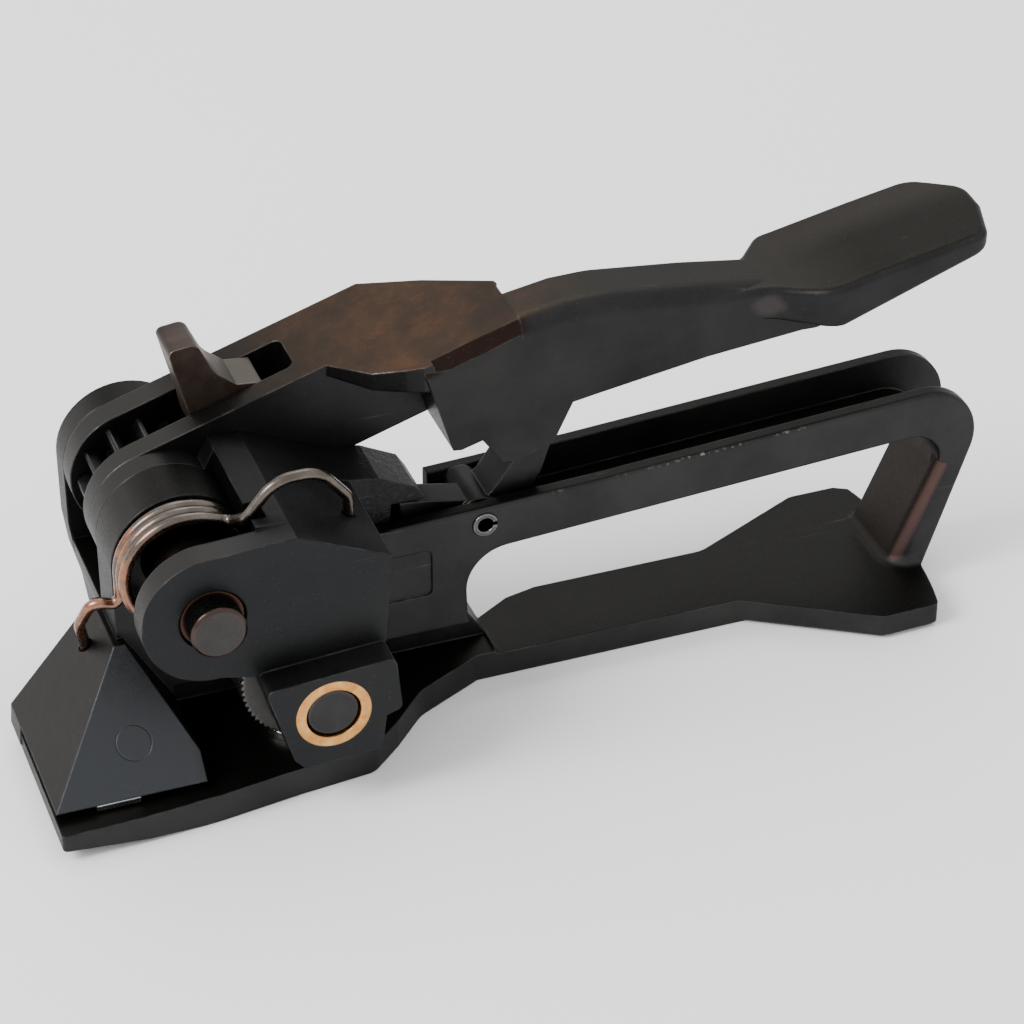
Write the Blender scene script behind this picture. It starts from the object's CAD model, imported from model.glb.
"""Looks of the strapping tensioner: procedural metals on the CAD pieces, floor, light and camera.

Every metal is built from the same few layers: slow mottling, fine grain, handling scratches,
bare metal rubbed through on the edges and, where the tool shows it, a stained or worn area.
Lengths are in metres. All patterns use each piece's own object coordinates, so they stay on
the piece when it moves."""

import bpy
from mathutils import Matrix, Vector


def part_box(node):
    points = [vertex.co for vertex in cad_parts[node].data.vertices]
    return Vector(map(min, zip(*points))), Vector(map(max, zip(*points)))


# ---------------------------------------------------------------- camera, floor and lights
LENS = 119.4                                    # millimetres, on a 36 mm sensor
CAMERA_PLACE = Vector((-0.1680, -0.5925, 0.4881))
CAMERA_AIM = Vector((0.285, 0.773, -0.567))     # the direction it looks in
CAMERA_CLIP = 0.01
FLOOR_SIZE = 6.0
FLOOR_GAP = 0.0002                              # the floor lies this far under the sole
WORLD_STRENGTH = 1.35
LIGHTS_AIM = (0.05, 0.02, 0.05)                 # about the middle of the tool
KEY_LIGHT = {"place": (-1.1, -0.1, 1.1), "size": 0.8, "power": 24.0}
TOP_LIGHT = {"place": (0.4, 0.9, 1.4), "size": 1.0, "power": 6.0}

# ---------------------------------------------------------------- patterns
COARSE = 45.0                                   # pattern scales, features per metre
MEDIUM = 240.0
FINE = 1900.0
MOTTLE_STOPS = (0.34, 0.52, 0.70)               # noise levels of a mottle's three colours
EDGE_RADIUS = 0.0006                            # how far the rubbed edges reach
PAWL_EDGE = 0.0004
GEAR_EDGE = 0.0008
TURNED_EDGE = 0.0011
CAST_GRAIN = 0.00003                            # depths of the surface relief
FORGED_GRAIN = 0.00002
TURNED_GRAIN = 0.00001
WIRE_GRAIN = 0.000004
CAST_PITS = 0.00002
FORGED_PITS = 0.00001
TOOL_MARKS = 0.00001
TAIL_LUMPS = 0.0004

# ---------------------------------------------------------------- colours, linear
BLACK_OXIDE = ((0.0165, 0.0165, 0.0175), (0.023, 0.023, 0.024), (0.030, 0.029, 0.028))
CAST_BLACK = ((0.022, 0.022, 0.0225), (0.030, 0.030, 0.0305), (0.038, 0.037, 0.036))
GREY_STEEL = ((0.036, 0.035, 0.034), (0.044, 0.043, 0.042), (0.054, 0.052, 0.050))
WHEEL_GREY = ((0.048, 0.046, 0.044), (0.060, 0.058, 0.055), (0.074, 0.071, 0.068))
FEED_SHAFT = ((0.026, 0.026, 0.026), (0.034, 0.034, 0.034), (0.044, 0.043, 0.042))
BROWNED = ((0.020, 0.014, 0.012), (0.034, 0.022, 0.018), (0.055, 0.034, 0.028))
DARK_STEEL = ((0.020, 0.020, 0.021), (0.027, 0.027, 0.028), (0.034, 0.034, 0.034))
PAWL_BROWN = ((0.022, 0.014, 0.010), (0.036, 0.024, 0.018), (0.058, 0.040, 0.030))
SPRING_WIRE = ((0.065, 0.054, 0.046), (0.115, 0.098, 0.084), (0.20, 0.175, 0.155))
BRONZE = ((0.46, 0.20, 0.06), (0.62, 0.31, 0.10), (0.72, 0.42, 0.17))
BRIGHT_STEEL = ((0.36, 0.38, 0.39), (0.48, 0.50, 0.51), (0.60, 0.62, 0.63))
FLOOR_WHITE = ((0.90, 0.90, 0.90), (0.92, 0.92, 0.92), (0.94, 0.94, 0.94))

NOSE_BLOOM = (0.036, 0.033, 0.030)
NOSE_BLUE = (0.042, 0.0445, 0.048)
LEG_BROWN = (0.024, 0.019, 0.016)
LEG_RED = (0.090, 0.052, 0.046)
OILY_TOP = (0.0095, 0.0092, 0.0075)
BARE_NICK = (0.20, 0.19, 0.18)
CHEEK_BLUE = (0.0175, 0.0185, 0.0195)
TAIL_GREY = (0.045, 0.043, 0.040)
ARM_LOBE_GREY = (0.038, 0.037, 0.034)
HANDLE_LOBE_GREY = (0.044, 0.042, 0.039)
SHANK_BLACK = (0.0225, 0.0198, 0.0165)
PAD_BLACK = (0.0085, 0.0082, 0.0068)
SCUFF_BLACK = (0.017, 0.010, 0.008)
BROWN_STAIN = (0.066, 0.039, 0.025)
RUSTY_SPOT = (0.110, 0.052, 0.026)
NECK_WORN = (0.075, 0.065, 0.060)
PAWL_WORN = (0.070, 0.064, 0.054)
RUST_STAIN = (0.090, 0.036, 0.022)
WIRE_RUST = (0.42, 0.160, 0.085)
BRONZE_STAIN = (0.45, 0.14, 0.06)
OIL_BLACK = (0.008, 0.008, 0.008)

RUBBED = (0.11, 0.105, 0.10)                    # bare metal on the corners
HANDLE_RUBBED = (0.13, 0.115, 0.105)
PAWL_RUBBED = (0.26, 0.20, 0.15)
GEAR_RUBBED = (0.12, 0.115, 0.11)
LEVER_RUBBED = (0.045, 0.043, 0.040)
WHEEL_RUBBED = (0.12, 0.12, 0.12)
FEED_SHAFT_RUBBED = (0.07, 0.07, 0.07)
PIN_RUBBED = (0.20, 0.20, 0.20)

# ---------------------------------------------------------------- where the marks are
# Faces are picked out by the way they look: a direction, and the cosines at which a mark
# starts and is full.
NOSE_FRONT = ((-0.8, 0, 0.6), 0.75, 0.98)
NOSE_NEAR = ((0, -0.72, 0.69), 0.85, 0.99)
LEG_FRONT = ((-0.92, 0, 0.38), 0.6, 0.95)
LEG_CORNER = ((-0.66, -0.70, 0.27), 0.90, 0.985)
CASTING_TOP = ((0, 0, 1), 0.8, 0.98)
BAR_CORNER = ((0, -0.7, 0.7), 0.90, 0.97)
CHEEK_NEAR = ((0, -1, 0), 0.9, 0.99)
BRIDGE_FRONT = ((-1, 0, 0.2), 0.6, 0.9)
BRIDGE_LEDGE = ((0, 0, 1), 0.90, 0.99)
LOBE_TOP = ((-0.7, 0, 0.7), 0.3, 0.95)
HANDLE_TOP = ((-0.3, 0, 0.95), 0.80, 0.96)
SHOULDER_CHAMFER = ((-0.2, -0.7, 0.69), 0.88, 0.97)
PAWL_TOP = ((0.5, 0, 0.87), 0.2, 0.8)

# Stretches over which a mark rises from nothing to full: X from the feedwheel's axle towards
# the grip, Y across from the wheel's middle, Z up from the sole.
NOSE_X = (-0.025, -0.03)
LEG_X = (0.12, 0.14)
LEG_CORNER_X = (0.14, 0.15)
BAR_FROM_X = (0.062, 0.072)
BAR_TO_X = (0.132, 0.122)
BAR_NEAR_WALL = (0.05, 0.03)                    # from the casting's near side
BAR_TOP_Z = (0.047, 0.048)
TAIL_X = (0.016, 0.022)
BEHIND_CHEEK_Y = (-0.0095, -0.0085)
BRIDGE_X = (-0.016, -0.013)
BRIDGE_Z = (0.050, 0.056)
BRIDGE_LEDGE_X = (-0.0035, -0.0055)
LOBE_X = (-0.012, -0.020)
SHOULDER_FROM_X = (0.000, 0.028)
SHOULDER_TO_X = (0.074, 0.032)
SCUFF_FROM_X = (0.030, 0.034)
SCUFF_TO_X = (0.060, 0.056)
PAD_X = (0.118, 0.140)
PAD_Y = (0.027, 0.019)
PAWL_TIP_Z = (0.0865, 0.0835)
LOWER_HOOK_X = (-0.030, -0.040)
NECK_SPOT = (0.1165, 0.0095, 0.0885)            # the worn spot at the palm pad's near corner
NECK_SPOT_REACH = (0.0045, 0.003, 0.003)


# ---------------------------------------------------------------- shader building blocks
class Metal:
    """One procedural metal, put together layer by layer."""

    def __init__(self, name, metallic, roughness, edge_tint=0.7):
        self.material = bpy.data.materials.new(name)
        self.material.use_nodes = True
        self.tree = self.material.node_tree
        self.nodes = self.tree.nodes
        self.nodes.clear()
        self.output = self.nodes.new("ShaderNodeOutputMaterial")
        self.shader = self.nodes.new("ShaderNodeBsdfPrincipled")
        self.shader.inputs["Metallic"].default_value = metallic
        self.shader.inputs["Specular Tint"].default_value = (edge_tint, edge_tint, edge_tint, 1.0)
        self.join(self.shader.outputs[0], self.output.inputs["Surface"])
        self.place = self.nodes.new("ShaderNodeTexCoord").outputs["Object"]
        self.roughness = roughness
        self.color = None
        self.rough_socket = None
        self.height = None

    def join(self, start, end):
        """Link an output socket to an input socket."""
        self.tree.links.new(start, end)

    def math(self, operation, a, b, clamp=False):
        """One sum on two values, each a number or a socket."""
        node = self.nodes.new("ShaderNodeMath")
        node.operation = operation
        node.use_clamp = clamp
        for socket, value in zip(node.inputs, (a, b)):
            if isinstance(value, (int, float)):
                socket.default_value = value
            else:
                self.join(value, socket)
        return node.outputs[0]

    def vector_math(self, operation, vector, other=None):
        """One sum on a vector socket and another socket or a fixed vector."""
        node = self.nodes.new("ShaderNodeVectorMath")
        node.operation = operation
        self.join(vector, node.inputs[0])
        if isinstance(other, bpy.types.NodeSocket):
            self.join(other, node.inputs[1])
        elif other is not None:
            node.inputs[1].default_value = other
        return node

    def product(self, *masks):
        """High only where all the masks are."""
        result = masks[0]
        for mask in masks[1:]:
            result = self.math("MULTIPLY", result, mask)
        return result

    def spread(self, value, low, high, to_low=0.0, to_high=1.0):
        """Map a value's range to another range, clamped."""
        node = self.nodes.new("ShaderNodeMapRange")
        self.join(value, node.inputs["Value"])
        node.inputs["From Min"].default_value = low
        node.inputs["From Max"].default_value = high
        node.inputs["To Min"].default_value = to_low
        node.inputs["To Max"].default_value = to_high
        return node.outputs["Result"]

    def stretched(self, turn, stretch):
        """The piece's coordinates, turned and then stretched along one way."""
        node = self.nodes.new("ShaderNodeMapping")
        node.inputs["Rotation"].default_value = turn
        node.inputs["Scale"].default_value = stretch
        self.join(self.place, node.inputs["Vector"])
        return node.outputs[0]

    def noise(self, scale, detail=4.0, rough=0.55, place=None, seed=0.0):
        """Seeded noise on the piece, about 0.3 to 0.7."""
        node = self.nodes.new("ShaderNodeTexNoise")
        node.noise_dimensions = "4D"
        node.inputs["W"].default_value = seed
        node.inputs["Scale"].default_value = scale
        node.inputs["Detail"].default_value = detail
        node.inputs["Roughness"].default_value = rough
        self.join(place or self.place, node.inputs["Vector"])
        return node.outputs["Fac"]

    def ramp(self, value, colors, stops):
        """Colours along a value, each at its stop."""
        node = self.nodes.new("ShaderNodeValToRGB")
        elements = node.color_ramp.elements
        while len(elements) < len(colors):
            elements.new(0.5)
        for element, color, stop in zip(elements, colors, stops):
            element.position = stop
            element.color = (*color, 1.0)
        self.join(value, node.inputs["Fac"])
        return node.outputs["Color"]

    def facing(self, direction, low, high):
        """High where the piece's own surface looks in a direction."""
        normal = self.nodes.new("ShaderNodeTexCoord").outputs["Normal"]
        dot = self.vector_math("DOT_PRODUCT", normal, Vector(direction).normalized())
        return self.spread(dot.outputs["Value"], low, high)

    def along(self, axis, stretch):
        """Rises from 0 to 1 over a stretch of an axis."""
        split = self.nodes.new("ShaderNodeSeparateXYZ")
        self.join(self.place, split.inputs[0])
        return self.spread(split.outputs["XYZ".index(axis)], *stretch)

    def bevelled(self, radius):
        """The surface's normal, rounded off at the corners."""
        node = self.nodes.new("ShaderNodeBevel")
        node.samples = 6
        node.inputs["Radius"].default_value = radius
        return node.outputs["Normal"]

    # -- layers
    def mottle(self, colors, scale=COARSE, seed=0.0):
        """Slow colour and gloss change over the whole piece."""
        slow = self.noise(scale, detail=6.0, rough=0.6, seed=seed)
        self.color = self.ramp(slow, colors, MOTTLE_STOPS)
        self.rough_socket = self.spread(slow, 0.3, 0.7, self.roughness - 0.05, self.roughness + 0.06)

    def blend(self, mask, color, strength=None):
        """Lay a colour over what is there, where the mask is high."""
        if strength is not None:
            mask = self.math("MULTIPLY", mask, strength)
        node = self.nodes.new("ShaderNodeMix")
        node.data_type = "RGBA"
        self.join(mask, node.inputs["Factor"])
        self.join(self.color, node.inputs["A"])
        node.inputs["B"].default_value = (*color, 1.0)
        self.color = node.outputs["Result"]

    def add_rough(self, mask, amount):
        """Make it rougher, or glossier if the amount is negative, where the mask is high."""
        step = self.math("MULTIPLY", mask, amount)
        self.rough_socket = self.math("ADD", self.rough_socket, step, clamp=True)

    def add_height(self, value, depth):
        """Add relief."""
        step = self.math("MULTIPLY", value, depth)
        self.height = step if self.height is None else self.math("ADD", self.height, step)

    def grain(self, depth, seed=3.0):
        """Fine blasted or scaly surface, in height, gloss and colour."""
        fine = self.noise(FINE, detail=3.0, rough=0.6, seed=seed)
        self.add_height(fine, depth)
        self.add_rough(self.spread(fine, 0.4, 0.6, -0.5, 0.5), 0.10)
        self.blend(self.spread(fine, 0.62, 0.74), RUBBED, strength=0.35)

    def pits(self, depth, seed=7.0):
        """Shallow dents of a casting."""
        dents = self.spread(self.noise(MEDIUM, detail=2.0, rough=0.5, seed=seed), 0.30, 0.55)
        self.add_height(dents, depth)

    def scratches(self, turn, strength, seed=11.0):
        """Thin bright handling marks, long in one direction."""
        place = self.stretched(turn, (20.0, 900.0, 900.0))
        line = self.noise(1.0, detail=2.0, rough=0.5, place=place, seed=seed)
        where = self.spread(self.noise(70.0, detail=2.0, seed=seed + 1), 0.50, 0.62)
        mask = self.product(self.spread(line, 0.66, 0.74), where)
        self.blend(mask, RUBBED, strength)
        self.add_rough(mask, -0.12)

    def rubbed_edges(self, color, strength, radius=EDGE_RADIUS, broken=0.5, seed=17.0):
        """Bare metal along the corners, broken up by noise."""
        soft = self.bevelled(radius)
        true_normal = self.nodes.new("ShaderNodeNewGeometry").outputs["Normal"]
        dot = self.vector_math("DOT_PRODUCT", soft, true_normal)
        corner = self.spread(dot.outputs["Value"], 0.995, 0.90)
        ragged = self.noise(120.0, detail=5.0, rough=0.7, seed=seed)
        patches = self.spread(ragged, broken - 0.10, broken + 0.08)
        mask = self.math("MULTIPLY", corner, self.math("MULTIPLY", patches, strength), clamp=True)
        self.blend(mask, color)
        self.add_rough(mask, -0.15)

    def worn_spot(self, centre, reach, color, strength, seed=23.0):
        """A worn, glossier area: an ellipsoid with a ragged border."""
        offset = self.vector_math("SUBTRACT", self.place, centre)
        scaled = self.vector_math("DIVIDE", offset.outputs[0], reach)
        length = self.vector_math("LENGTH", scaled.outputs[0])
        border = self.noise(110.0, detail=5.0, rough=0.65, seed=seed)
        ragged = self.math("ADD", length.outputs["Value"], self.spread(border, 0.3, 0.7, -0.35, 0.35))
        mask = self.math("MULTIPLY", self.spread(ragged, 1.15, 0.55), strength)
        self.blend(mask, color)
        self.add_rough(mask, -0.12)

    def tool_marks(self, turn, stretch, seed):
        """Fine parallel marks of turning or grinding; gives their pattern."""
        marks = self.noise(1.0, detail=2.0, place=self.stretched(turn, stretch), seed=seed)
        self.add_height(marks, TOOL_MARKS)
        return marks

    def finish(self, round_radius=EDGE_RADIUS):
        """Join the layers to the shader; no radius leaves the corners sharp."""
        self.join(self.color, self.shader.inputs["Base Color"])
        self.join(self.rough_socket, self.shader.inputs["Roughness"])
        normal = self.bevelled(round_radius) if round_radius else None
        if self.height is not None:
            bump = self.nodes.new("ShaderNodeBump")
            bump.inputs["Strength"].default_value = 1.0
            bump.inputs["Distance"].default_value = 1.0
            self.join(self.height, bump.inputs["Height"])
            if normal is not None:
                self.join(normal, bump.inputs["Normal"])
            normal = bump.outputs["Normal"]
        if normal is not None:
            self.join(normal, self.shader.inputs["Normal"])
        return self.material


# ---------------------------------------------------------------- one function per finish
def casting_metal(box):
    """Base: black oxide iron, bluish on the nose, brown on the leg, darkest on its level tops."""
    metal = Metal("base_iron", metallic=0.92, roughness=0.44)
    metal.mottle(CAST_BLACK)
    metal.blend(metal.facing(*NOSE_FRONT), NOSE_BLOOM, strength=0.6)
    metal.blend(metal.product(metal.facing(*NOSE_NEAR), metal.along("X", NOSE_X)), NOSE_BLUE)
    leg = metal.product(metal.facing(*LEG_FRONT), metal.along("X", LEG_X))
    metal.blend(leg, LEG_BROWN, strength=0.8)
    metal.blend(metal.facing(*CASTING_TOP), OILY_TOP, strength=0.9)
    metal.grain(CAST_GRAIN)
    metal.pits(CAST_PITS)
    metal.scratches((0.2, 0.1, 0.5), strength=0.25)
    metal.rubbed_edges(RUBBED, strength=0.35, broken=0.55)
    nick_the_bar(metal, box)
    leg_corner = metal.product(metal.facing(*LEG_CORNER), metal.along("X", LEG_CORNER_X))
    metal.blend(leg_corner, LEG_RED, strength=0.8)
    return metal.finish()


def nick_the_bar(metal, box):
    """Small bare nicks on the middle of the hand bar's near top corner."""
    low, high = box
    near_wall = [low.y + depth for depth in BAR_NEAR_WALL]
    middle = metal.product(metal.along("X", BAR_FROM_X), metal.along("X", BAR_TO_X),
                           metal.along("Y", near_wall))
    corner = metal.product(metal.along("Z", BAR_TOP_Z), metal.facing(*BAR_CORNER))
    nicks = metal.spread(metal.noise(900.0, detail=3.0, rough=0.6, seed=31.0), 0.53, 0.62)
    where = metal.spread(metal.noise(90.0, detail=2.0, rough=0.5, seed=33.0), 0.46, 0.60)
    metal.blend(metal.product(middle, corner, nicks, where), BARE_NICK)


def arm_metal():
    """Feedwheel arm: darker, with a machined bluish near cheek and a rough tail."""
    metal = Metal("arm_iron", metallic=0.92, roughness=0.42)
    metal.mottle(BLACK_OXIDE, seed=2.0)
    metal.blend(metal.facing(*CHEEK_NEAR), CHEEK_BLUE, strength=0.6)
    metal.grain(FORGED_GRAIN)
    tail = metal.along("X", TAIL_X)
    lumps = metal.noise(700.0, detail=5.0, rough=0.7, seed=41.0)
    metal.add_height(metal.product(tail, lumps), TAIL_LUMPS)
    metal.blend(metal.product(tail, metal.spread(lumps, 0.52, 0.66)), TAIL_GREY, strength=0.6)
    front = metal.product(metal.facing(*BRIDGE_FRONT), metal.along("Z", BRIDGE_Z),
                          metal.along("X", BRIDGE_X), metal.along("Y", BEHIND_CHEEK_Y))
    metal.blend(front, OIL_BLACK, strength=0.85)
    ledge = metal.product(metal.facing(*BRIDGE_LEDGE), metal.along("X", BRIDGE_LEDGE_X),
                          metal.along("Y", BEHIND_CHEEK_Y))
    metal.blend(ledge, OIL_BLACK, strength=0.6)
    lobe = metal.product(metal.facing(*LOBE_TOP), metal.along("X", LOBE_X))
    metal.blend(lobe, ARM_LOBE_GREY, strength=0.8)
    metal.scratches((0.1, 0.4, 0.2), strength=0.2, seed=13.0)
    metal.rubbed_edges(RUBBED, strength=0.4, broken=0.55)
    return metal.finish()


def handle_metal():
    """Handle: oxide with a worn brown patina on its shoulder and bare corners."""
    metal = Metal("handle_steel", metallic=0.95, roughness=0.40)
    metal.mottle(BLACK_OXIDE, seed=4.0)
    top = metal.facing(*HANDLE_TOP)
    metal.blend(top, SHANK_BLACK, strength=0.85)
    ragged = metal.spread(metal.noise(75.0, detail=6.0, rough=0.6, seed=53.0), 0.30, 0.60, 0.30, 1.0)
    brown = metal.product(top, metal.along("X", SHOULDER_FROM_X), metal.along("X", SHOULDER_TO_X), ragged)
    metal.blend(brown, BROWN_STAIN, strength=0.95)
    spots = metal.spread(metal.noise(240.0, detail=6.0, rough=0.7, seed=54.0), 0.48, 0.66)
    metal.blend(metal.product(brown, spots), RUSTY_SPOT, strength=0.55)
    pad = metal.product(top, metal.along("X", PAD_X), metal.along("Y", PAD_Y))
    metal.blend(pad, PAD_BLACK, strength=0.8)
    scuff = metal.product(metal.facing(*SHOULDER_CHAMFER), metal.along("X", SCUFF_FROM_X),
                          metal.along("X", SCUFF_TO_X))
    metal.blend(scuff, SCUFF_BLACK)
    metal.worn_spot(NECK_SPOT, NECK_SPOT_REACH, NECK_WORN, strength=0.35)
    lobe = metal.product(metal.facing(*LOBE_TOP), metal.along("X", LOBE_X))
    metal.blend(lobe, HANDLE_LOBE_GREY, strength=0.8)
    metal.grain(FORGED_GRAIN, seed=5.0)
    metal.pits(FORGED_PITS, seed=9.0)
    metal.scratches((0.0, 0.3, 0.1), strength=0.25, seed=15.0)
    metal.rubbed_edges(HANDLE_RUBBED, strength=0.6, broken=0.50)
    return metal.finish()


def pawl_metal():
    """Thumb pawl: brown, with the tip of its hollow top worn to grey."""
    metal = Metal("pawl_steel", metallic=0.6, roughness=0.45)
    metal.mottle(PAWL_BROWN, scale=120.0, seed=6.0)
    worn = metal.product(metal.facing(*PAWL_TOP), metal.along("Z", PAWL_TIP_Z))
    metal.blend(worn, PAWL_WORN, strength=0.7)
    metal.grain(CAST_GRAIN, seed=8.0)
    metal.rubbed_edges(PAWL_RUBBED, strength=0.8, radius=PAWL_EDGE, broken=0.45)
    return metal.finish()


def gear_metal():
    """Gears: black oxide with well rubbed teeth."""
    metal = Metal("gear_steel", metallic=1.0, roughness=0.36)
    metal.mottle(BLACK_OXIDE, scale=150.0, seed=10.0)
    metal.grain(FORGED_GRAIN, seed=12.0)
    metal.rubbed_edges(GEAR_RUBBED, strength=0.9, radius=GEAR_EDGE, broken=0.42)
    return metal.finish()


def turned_metal(name, colors, rubbed, roughness=0.30):
    """Turned steel of the wheel, shafts, pins and rings, with a rubbed or stained rim."""
    metal = Metal(name, metallic=1.0, roughness=roughness)
    metal.mottle(colors, scale=90.0, seed=14.0)
    metal.tool_marks((0, 0, 0), (1500.0, 60.0, 1500.0), seed=16.0)
    metal.rubbed_edges(rubbed, strength=0.9, radius=TURNED_EDGE, broken=0.40)
    metal.grain(TURNED_GRAIN, seed=18.0)
    return metal.finish()


def spring_metal():
    """Bright wire with a reddish bloom towards its lower hook."""
    metal = Metal("spring_wire", metallic=1.0, roughness=0.27, edge_tint=1.0)
    metal.mottle(SPRING_WIRE, scale=70.0, seed=20.0)
    rust = metal.spread(metal.noise(210.0, detail=5.0, rough=0.7, seed=21.0), 0.42, 0.62)
    metal.blend(metal.product(rust, metal.along("X", LOWER_HOOK_X)), WIRE_RUST, strength=0.75)
    metal.grain(WIRE_GRAIN, seed=24.0)
    return metal.finish(round_radius=None)


def bronze_metal():
    """Bushing bronze with darker, redder spots."""
    metal = Metal("bronze", metallic=1.0, roughness=0.34)
    metal.mottle(BRONZE, scale=260.0, seed=26.0)
    spots = metal.spread(metal.noise(330.0, detail=4.0, rough=0.7, seed=27.0), 0.58, 0.72)
    metal.blend(spots, BRONZE_STAIN, strength=0.7)
    metal.grain(FORGED_GRAIN, seed=28.0)
    return metal.finish()


def ground_metal():
    """Ground hard steel with fine parallel marks."""
    metal = Metal("ground_steel", metallic=1.0, roughness=0.20)
    metal.mottle(BRIGHT_STEEL, scale=140.0, seed=30.0)
    marks = metal.tool_marks((0, 0, 0.4), (30.0, 2500.0, 2500.0), seed=32.0)
    metal.add_rough(metal.spread(marks, 0.4, 0.6, -0.5, 0.5), 0.12)
    return metal.finish()


def dress(nodes, material, names):
    """Put one material in every slot of the named pieces."""
    for name in names:
        slots = nodes[name].material_slots
        if not slots:
            nodes[name].data.materials.append(material)
        for slot in slots:
            slot.material = material


def dress_all(nodes):
    """Give every piece its finish."""
    boxes = {name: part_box(name) for name in nodes}
    dress(nodes, casting_metal(boxes["frame_casting"]), ["frame_casting", "guide_dowel"])
    dress(nodes, arm_metal(), ["feedwheel_arm"])
    dress(nodes, handle_metal(), ["handle"])
    dress(nodes, pawl_metal(), ["pawl"])
    dress(nodes, gear_metal(), ["drive_gear", "driven_gear"])
    dress(nodes, turned_metal("lever_steel", DARK_STEEL, LEVER_RUBBED, roughness=0.42),
          ["holding_pawl", "release_lever"])
    dress(nodes, turned_metal("wheel_steel", WHEEL_GREY, WHEEL_RUBBED, roughness=0.38), ["feedwheel"])
    dress(nodes, turned_metal("shaft_steel", GREY_STEEL, RUST_STAIN), ["main_shaft"])
    dress(nodes, turned_metal("dark_shaft_steel", DARK_STEEL, OIL_BLACK),
          ["shaft_ring_far", "gear_retaining_ring", "holding_pawl_pin", "pawl_pin",
           "feedwheel_key", "gear_key"])
    dress(nodes, turned_metal("pin_steel", GREY_STEEL, PIN_RUBBED), ["release_lever_pin"])
    dress(nodes, turned_metal("feed_shaft_steel", FEED_SHAFT, FEED_SHAFT_RUBBED, roughness=0.35),
          ["feedwheel_shaft"])
    dress(nodes, turned_metal("ring_steel", BROWNED, RUST_STAIN, roughness=0.40),
          ["shaft_ring_near", "spring_sleeve"])
    dress(nodes, spring_metal(), ["arm_spring"])
    dress(nodes, bronze_metal(),
          ["front_bushing", "rear_bushing", "handle_bushing_near", "handle_bushing_far"])
    dress(nodes, ground_metal(), ["strap_guide_insert", "anvil_plug"])


# ---------------------------------------------------------------- stage
def make_floor():
    """A plain pale floor, just under the tool."""
    bpy.ops.mesh.primitive_plane_add(size=FLOOR_SIZE, location=(0, 0, -FLOOR_GAP))
    floor = bpy.context.object
    floor.name = "floor"
    paint = Metal("floor_paint", metallic=0.0, roughness=0.9)
    paint.mottle(FLOOR_WHITE, scale=1.0)
    floor.data.materials.append(paint.finish())


def look_along(thing, place, direction):
    """Put a light or camera at a place, looking in a direction."""
    thing.location = place
    thing.rotation_euler = direction.to_track_quat("-Z", "Y").to_euler()
    bpy.context.scene.collection.objects.link(thing)


def area_light(name, place, size, power):
    """A soft round light aimed at the tool."""
    data = bpy.data.lights.new(name, "AREA")
    data.shape = "DISK"
    data.size = size
    data.energy = power
    light = bpy.data.objects.new(name, data)
    look_along(light, place, Vector(LIGHTS_AIM) - Vector(place))


def make_lights():
    """White surroundings, a key light from the left and a weak one from above behind."""
    world = bpy.data.worlds.new("studio")
    world.use_nodes = True
    background = world.node_tree.nodes["Background"]
    background.inputs["Color"].default_value = (1.0, 1.0, 1.0, 1.0)
    background.inputs["Strength"].default_value = WORLD_STRENGTH
    bpy.context.scene.world = world
    area_light("key", **KEY_LIGHT)
    area_light("top", **TOP_LIGHT)


def make_camera():
    """The view of the tool's near side, from the left and above."""
    data = bpy.data.cameras.new("photo_camera")
    data.lens = LENS
    data.clip_start = CAMERA_CLIP
    camera = bpy.data.objects.new("photo_camera", data)
    look_along(camera, CAMERA_PLACE, CAMERA_AIM)
    bpy.context.scene.camera = camera


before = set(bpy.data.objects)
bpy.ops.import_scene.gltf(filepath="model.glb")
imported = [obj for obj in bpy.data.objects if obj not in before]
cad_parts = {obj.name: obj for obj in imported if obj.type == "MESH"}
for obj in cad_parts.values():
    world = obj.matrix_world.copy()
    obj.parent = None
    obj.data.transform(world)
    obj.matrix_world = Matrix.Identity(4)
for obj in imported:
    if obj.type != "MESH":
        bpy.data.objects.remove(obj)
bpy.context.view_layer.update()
dress_all(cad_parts)
make_floor()
make_lights()
make_camera()
